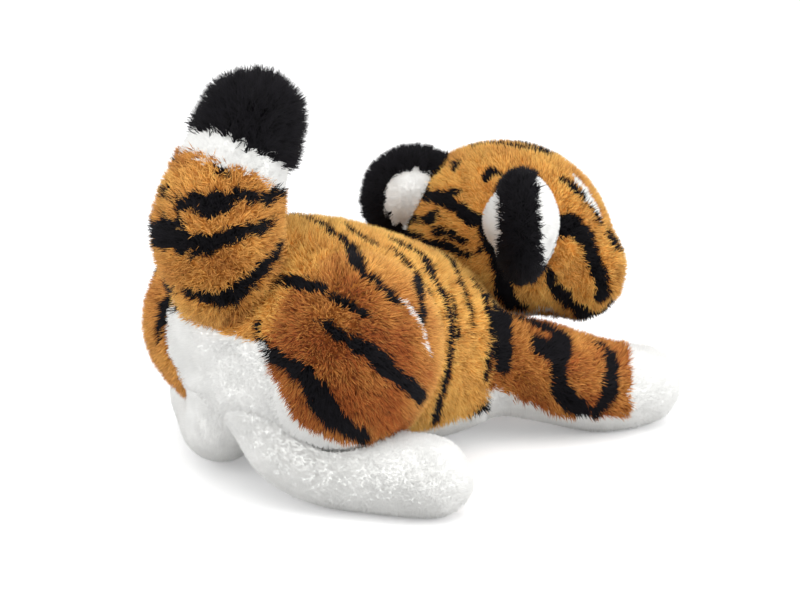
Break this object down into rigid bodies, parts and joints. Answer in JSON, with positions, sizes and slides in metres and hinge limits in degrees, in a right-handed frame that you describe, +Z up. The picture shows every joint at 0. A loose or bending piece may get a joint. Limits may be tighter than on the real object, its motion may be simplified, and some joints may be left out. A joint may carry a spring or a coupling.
{
  "type": "plush tiger cub",
  "caption": "Stuffed tiger cub in a play bow, chest and forelegs on the floor, rump and thick tail raised, striped plush with white paws and ear patches.",
  "frame": {"origin": "on the floor at the middle of the flat patch that the chest rests on", "axes": "+Z up, -Y towards the nose, +X towards the tiger's own left side"},
  "size_m": [0.253, 0.3627, 0.2526],
  "materials": {
    "orange_plush": "short pile",
    "white_plush": "short pile",
    "black_plush": "long pile",
    "stuffing": "loose fibre",
    "eye_plastic": "gloss",
    "nose_plastic": "satin",
    "washer_plastic": "satin"
  },
  "bodies": {
    "body": {"body_back_panel": "orange_plush", "body_belly_panel": "white_plush", "body_stuffing": "stuffing"},
    "head": {"head_back_panel": "orange_plush", "head_face_panel": "orange_plush", "head_stuffing": "stuffing", "muzzle": "white_plush", "chin": "white_plush", "nose": "nose_plastic", "mouth_thread": "black_plush", "eye_left": "eye_plastic", "eye_right": "eye_plastic", "eye_washer_left": "washer_plastic", "eye_washer_right": "washer_plastic"},
    "tail": {"tail_sleeve": "orange_plush", "tail_band": "white_plush", "tail_tip": "black_plush", "tail_stuffing": "stuffing"},
    "ear_left": {"ear_left_rim": "black_plush", "ear_left_front": "white_plush", "ear_left_back": "white_plush"},
    "foreleg_left": {"foreleg_left_sleeve": "orange_plush", "foreleg_left_paw": "white_plush", "foreleg_left_stuffing": "stuffing"},
    "hind_leg_left": {"thigh_left_panel": "orange_plush", "thigh_left_stuffing": "stuffing", "foot_left_panel": "white_plush", "foot_left_stuffing": "stuffing"},
    "ear_right": {"ear_right_rim": "black_plush", "ear_right_front": "white_plush", "ear_right_back": "white_plush"},
    "foreleg_right": {"foreleg_right_sleeve": "orange_plush", "foreleg_right_paw": "white_plush", "foreleg_right_stuffing": "stuffing"},
    "hind_leg_right": {"thigh_right_panel": "orange_plush", "thigh_right_stuffing": "stuffing", "foot_right_panel": "white_plush", "foot_right_stuffing": "stuffing"}
  },
  "joints": [
    {"name": "head_nod", "type": "hinge", "parent": "body", "child": "head", "pos_m": [0, -0.075, 0.118], "axis": [-1, 0, 0], "range_deg": [0, 18], "stiffness_Nm_per_rad": 0.6},
    {"name": "tail_sway", "type": "hinge", "parent": "body", "child": "tail", "pos_m": [0, 0.15806, 0.09499], "axis": [0, 1, 0], "range_deg": [-12, 12], "stiffness_Nm_per_rad": 0.5},
    {"name": "ear_left_turn", "type": "hinge", "parent": "head", "child": "ear_left", "pos_m": [0.04896, -0.03904, 0.13816], "axis": [0, 0, 1], "range_deg": [-12, 12], "stiffness_Nm_per_rad": 0.05},
    {"name": "foreleg_left_swing", "type": "hinge", "parent": "body", "child": "foreleg_left", "pos_m": [0.03808, -0.00287, 0.05474], "axis": [1, 0, 0], "range_deg": [0, 16], "stiffness_Nm_per_rad": 0.6},
    {"name": "hind_leg_left_swing", "type": "hinge", "parent": "body", "child": "hind_leg_left", "pos_m": [0.0578, 0.11993, 0.09258], "axis": [1, 0, 0], "range_deg": [-10, 10], "stiffness_Nm_per_rad": 0.8},
    {"name": "ear_right_turn", "type": "hinge", "parent": "head", "child": "ear_right", "pos_m": [-0.04896, -0.03904, 0.13816], "axis": [0, 0, 1], "range_deg": [-12, 12], "stiffness_Nm_per_rad": 0.05},
    {"name": "foreleg_right_swing", "type": "hinge", "parent": "body", "child": "foreleg_right", "pos_m": [-0.03808, -0.00287, 0.05474], "axis": [1, 0, 0], "range_deg": [0, 16], "stiffness_Nm_per_rad": 0.6},
    {"name": "hind_leg_right_swing", "type": "hinge", "parent": "body", "child": "hind_leg_right", "pos_m": [-0.0578, 0.11993, 0.09258], "axis": [1, 0, 0], "range_deg": [-10, 10], "stiffness_Nm_per_rad": 0.8}
  ]
}
